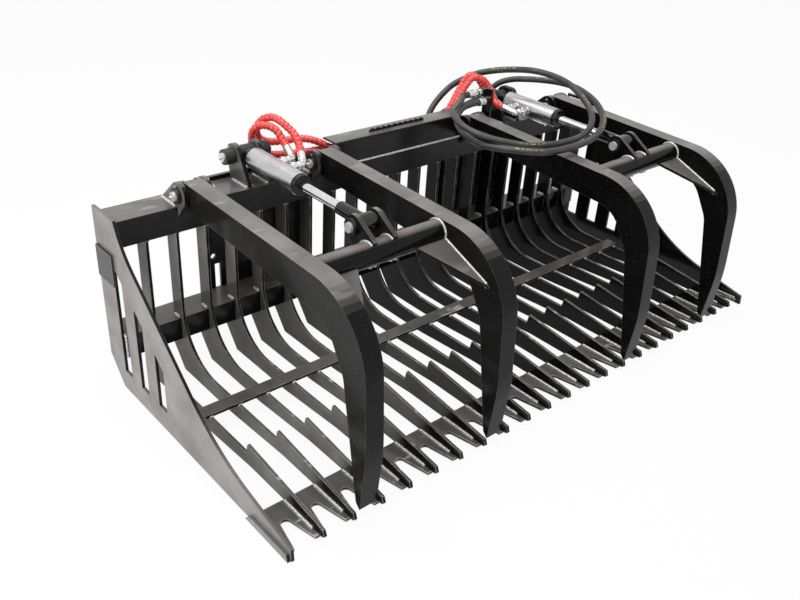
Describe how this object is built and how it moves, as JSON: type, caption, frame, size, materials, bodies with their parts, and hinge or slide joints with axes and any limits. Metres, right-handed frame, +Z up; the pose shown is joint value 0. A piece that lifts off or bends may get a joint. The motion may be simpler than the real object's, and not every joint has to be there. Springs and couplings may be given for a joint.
{
  "type": "grapple bucket",
  "caption": "Skid-steer rock bucket with spaced tines, a toothed cutting edge and two hydraulic grapples that clamp the load.",
  "frame": {"origin": "centre of the bounding box's footprint, on the plane under the bucket's floor", "axes": "+X to the bucket's right side as seen from behind it, -Y forward to the tine tips, +Z up"},
  "size_m": [1.85, 0.902, 0.6783],
  "materials": {
    "frame_paint": "glossy black powder coat",
    "tine_paint": "glossy black powder coat",
    "grapple_paint": "glossy dark grey powder coat",
    "gland_black": "satin black",
    "pin_steel": "turned steel",
    "barrel_steel": "satin silver",
    "rod_chrome": "polished",
    "fitting_zinc": "zinc plated",
    "red_guard": "glossy red spiral guard",
    "hose_rubber": "black rubber"
  },
  "bodies": {
    "bucket": {"side_plate_left": "frame_paint", "side_plate_right": "frame_paint", "wear_strips": "frame_paint", "badge_plate": "frame_paint", "tine_pair_01": "tine_paint", "tine_pair_02": "tine_paint", "tine_pair_03": "tine_paint", "tine_pair_04": "tine_paint", "tine_pair_05": "tine_paint", "tine_pair_06": "tine_paint", "tine_pair_07": "tine_paint", "tine_pair_08": "tine_paint", "tine_pair_09": "tine_paint", "tine_pair_10": "tine_paint", "tine_centre": "tine_paint", "cutting_edge": "tine_paint", "cross_bar": "tine_paint", "lower_beam": "frame_paint", "top_beam": "frame_paint", "centre_cover": "frame_paint", "step_grip": "frame_paint", "mount_plate_left": "frame_paint", "mount_plate_right": "frame_paint", "hinge_lugs": "frame_paint", "cylinder_brackets": "frame_paint", "pivot_pins": "pin_steel", "pin_bolts": "fitting_zinc", "feed_tees": "frame_paint", "left_red_hoses": "red_guard", "right_red_hoses": "red_guard", "feed_hose_a": "hose_rubber", "feed_hose_b": "hose_rubber", "feed_ferrules": "fitting_zinc", "coupler_male": "fitting_zinc", "coupler_female": "fitting_zinc"},
    "grapple_left": {"left_arm_outer": "grapple_paint", "left_arm_inner": "grapple_paint", "left_cross_tube": "grapple_paint", "left_gussets": "grapple_paint", "left_clevis": "grapple_paint", "left_clevis_pin": "pin_steel"},
    "cylinder_left": {"left_barrel": "barrel_steel", "left_gland": "gland_black", "left_fittings": "fitting_zinc"},
    "ram_left": {"left_rod": "rod_chrome", "left_piston": "fitting_zinc"},
    "grapple_right": {"right_arm_outer": "grapple_paint", "right_arm_inner": "grapple_paint", "right_cross_tube": "grapple_paint", "right_gussets": "grapple_paint", "right_clevis": "grapple_paint", "right_clevis_pin": "pin_steel"},
    "cylinder_right": {"right_barrel": "barrel_steel", "right_gland": "gland_black", "right_fittings": "fitting_zinc"},
    "ram_right": {"right_rod": "rod_chrome", "right_piston": "fitting_zinc"}
  },
  "joints": [
    {"name": "left_grapple_swing", "type": "hinge", "parent": "bucket", "child": "grapple_left", "pos_m": [-0.495, 0.288, 0.525], "axis": [-1, 0, 0], "range_deg": [0, 55]},
    {"name": "left_cylinder_tilt", "type": "hinge", "parent": "bucket", "child": "cylinder_left", "pos_m": [-0.495, 0.368, 0.562], "axis": [-1, 0, 0], "range_deg": [0, 48.2], "deforming": ["left_red_hoses"]},
    {"name": "left_ram_tilt", "type": "hinge", "parent": "grapple_left", "child": "ram_left", "pos_m": [-0.495, -0.142, 0.556], "axis": [-1, 0, 0], "range_deg": [-7, 0]},
    {"name": "right_grapple_swing", "type": "hinge", "parent": "bucket", "child": "grapple_right", "pos_m": [0.495, 0.288, 0.525], "axis": [-1, 0, 0], "range_deg": [0, 55], "deforming": ["feed_hose_a", "feed_hose_b"]},
    {"name": "right_cylinder_tilt", "type": "hinge", "parent": "bucket", "child": "cylinder_right", "pos_m": [0.495, 0.368, 0.562], "axis": [-1, 0, 0], "range_deg": [0, 48.2], "deforming": ["right_red_hoses"]},
    {"name": "right_ram_tilt", "type": "hinge", "parent": "grapple_right", "child": "ram_right", "pos_m": [0.495, -0.142, 0.556], "axis": [-1, 0, 0], "range_deg": [-7, 0]}
  ],
  "couplings": [
    {"joint": "left_cylinder_tilt", "follows": "left_grapple_swing", "ratio": 0.874},
    {"joint": "left_ram_tilt", "follows": "left_grapple_swing", "ratio": -0.126},
    {"joint": "right_cylinder_tilt", "follows": "right_grapple_swing", "ratio": 0.874},
    {"joint": "right_ram_tilt", "follows": "right_grapple_swing", "ratio": -0.126}
  ]
}
